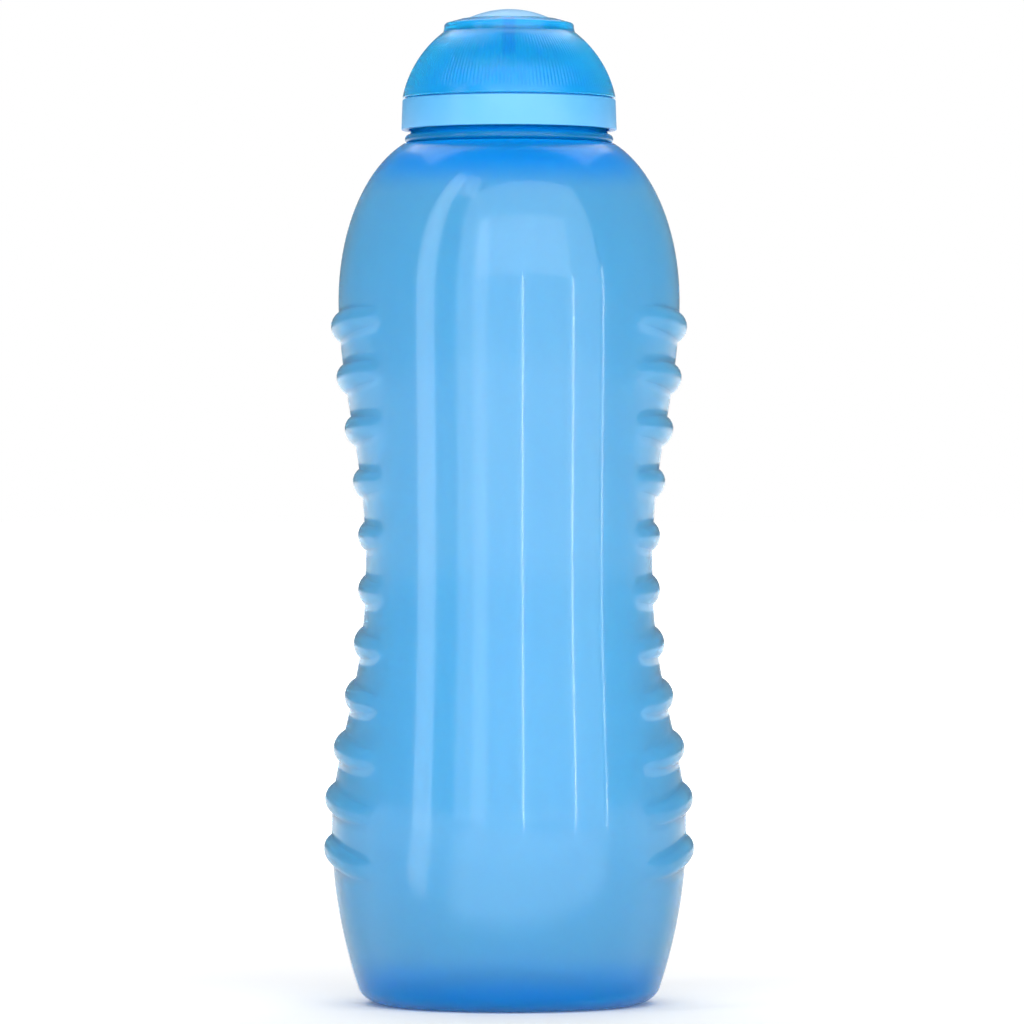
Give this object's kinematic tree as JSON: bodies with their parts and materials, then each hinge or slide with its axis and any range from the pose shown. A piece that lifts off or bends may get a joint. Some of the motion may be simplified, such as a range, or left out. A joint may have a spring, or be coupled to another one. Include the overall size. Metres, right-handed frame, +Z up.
{
  "type": "sports squeeze bottle",
  "caption": "Blown squeeze bottle with ribbed side grips and a screw cap whose fluted dome twists up a helix to open a ring-shaped drinking gap.",
  "frame": {"origin": "middle of the ring-shaped face that the bottle stands on", "axes": "+Z up the bottle's axis to the cap, +X towards one of the two ribbed grips, -Y towards the plain front"},
  "size_m": [0.0754, 0.0722, 0.2023],
  "materials": {
    "bottle_plastic": "satin translucent blown polyethylene",
    "dome_plastic": "translucent moulded polypropylene with fine upright flutes",
    "cap_plastic": "satin opaque moulded polypropylene",
    "seal_rubber": "matt translucent silicone"
  },
  "bodies": {
    "bottle": {"bottle_body": "bottle_plastic"},
    "gasket": {"neck_gasket": "seal_rubber"},
    "cap": {"screw_cap": "cap_plastic", "tower_seal_ring": "seal_rubber"},
    "mouth_seal": {"mouth_seal_ring": "seal_rubber"},
    "dome": {"twist_dome": "dome_plastic"}
  },
  "joints": [
    {"name": "cap_lift", "type": "slide", "parent": "bottle", "child": "gasket", "axis": [0, 0, 1], "range_m": [0, 0.0056]},
    {"name": "cap_unscrew", "type": "hinge", "parent": "gasket", "child": "cap", "pos_m": [0, 0, 0.184], "axis": [0, 0, 1], "range_deg": [0, 504]},
    {"name": "dome_rise", "type": "slide", "parent": "cap", "child": "mouth_seal", "axis": [0, 0, 1], "range_m": [0, 0.0032]},
    {"name": "dome_twist", "type": "hinge", "parent": "mouth_seal", "child": "dome", "pos_m": [0, 0, 0.192], "axis": [0, 0, 1], "range_deg": [0, 90]}
  ],
  "couplings": [
    {"joint": "cap_lift", "follows": "cap_unscrew", "m_per_rad": 0.00063662},
    {"joint": "dome_rise", "follows": "dome_twist", "m_per_rad": 0.0020372}
  ]
}
